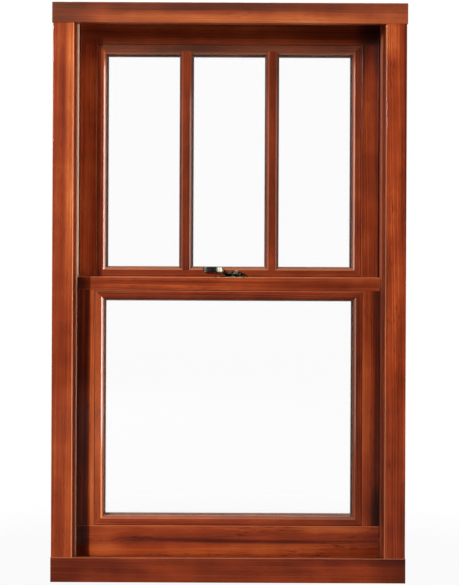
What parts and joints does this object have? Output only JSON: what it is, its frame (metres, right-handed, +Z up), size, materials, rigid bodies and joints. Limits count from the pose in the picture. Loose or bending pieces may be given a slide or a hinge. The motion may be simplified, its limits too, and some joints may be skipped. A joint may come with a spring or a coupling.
{
  "type": "double-hung sash window",
  "caption": "Varnished wooden sash window in its frame: a divided upper sash and a plain lower sash slide in jamb liners, with a swinging cam lock on the meeting rail.",
  "frame": {"origin": "under the middle of the window, on the plane that the sill stands on", "axes": "+Z up, +Y from the inside of the window to the outside, +X to the right seen from inside"},
  "size_m": [0.762, 0.208, 1.243],
  "materials": {
    "wood": "satin varnish",
    "liner": "matte",
    "glass": "clear",
    "spacer": "mill",
    "nylon": "matte",
    "rubber": "matte",
    "nickel": "satin",
    "steel": "zinc"
  },
  "bodies": {
    "frame": {"head_casing": "wood", "left_casing": "wood", "right_casing": "wood", "sill_casing": "wood", "head_jamb": "wood", "left_jamb": "wood", "right_jamb": "wood", "sill": "wood", "left_stop": "wood", "right_stop": "wood", "left_liner": "liner", "right_liner": "liner", "head_blind_stop": "wood", "left_blind_stop": "wood", "right_blind_stop": "wood", "head_seal": "rubber", "lower_balance_tubes": "steel", "upper_balance_tubes": "steel", "balance_caps": "nylon", "frame_screws": "steel"},
    "lower_sash": {"lower_meeting_rail": "wood", "bottom_rail": "wood", "lower_left_stile": "wood", "lower_right_stile": "wood", "lower_top_bead": "wood", "lower_bottom_bead": "wood", "lower_left_bead": "wood", "lower_right_bead": "wood", "lower_inner_pane": "glass", "lower_outer_pane": "glass", "lower_spacer": "spacer", "lower_setting_blocks": "rubber", "lower_guides": "nylon", "lower_balance_rods": "steel", "bottom_seal": "rubber", "lock_housing": "nickel", "lock_pivot": "nickel", "lock_screws": "nickel"},
    "lock_lever": {"lock_lever": "nickel"},
    "upper_sash": {"top_rail": "wood", "upper_meeting_rail": "wood", "upper_left_stile": "wood", "upper_right_stile": "wood", "upper_top_bead": "wood", "upper_bottom_bead": "wood", "upper_left_bead": "wood", "upper_right_bead": "wood", "upper_inner_pane": "glass", "upper_outer_pane": "glass", "upper_spacer": "spacer", "upper_setting_blocks": "rubber", "left_muntin": "wood", "right_muntin": "wood", "outer_muntins": "wood", "upper_guides": "nylon", "upper_balance_rods": "steel", "meeting_seal": "rubber", "keeper": "nickel", "keeper_screws": "nickel"}
  },
  "joints": [
    {"name": "lower_sash_slide", "type": "slide", "parent": "frame", "child": "lower_sash", "axis": [0, 0, 1], "range_m": [0, 0.48]},
    {"name": "upper_sash_slide", "type": "slide", "parent": "frame", "child": "upper_sash", "axis": [0, 0, 1], "range_m": [-0.48, 0]},
    {"name": "lock_lever_turn", "type": "hinge", "parent": "lower_sash", "child": "lock_lever", "pos_m": [0.0155, 0.0065, 0.6578], "axis": [0, 0, 1], "range_deg": [0, 150]}
  ]
}
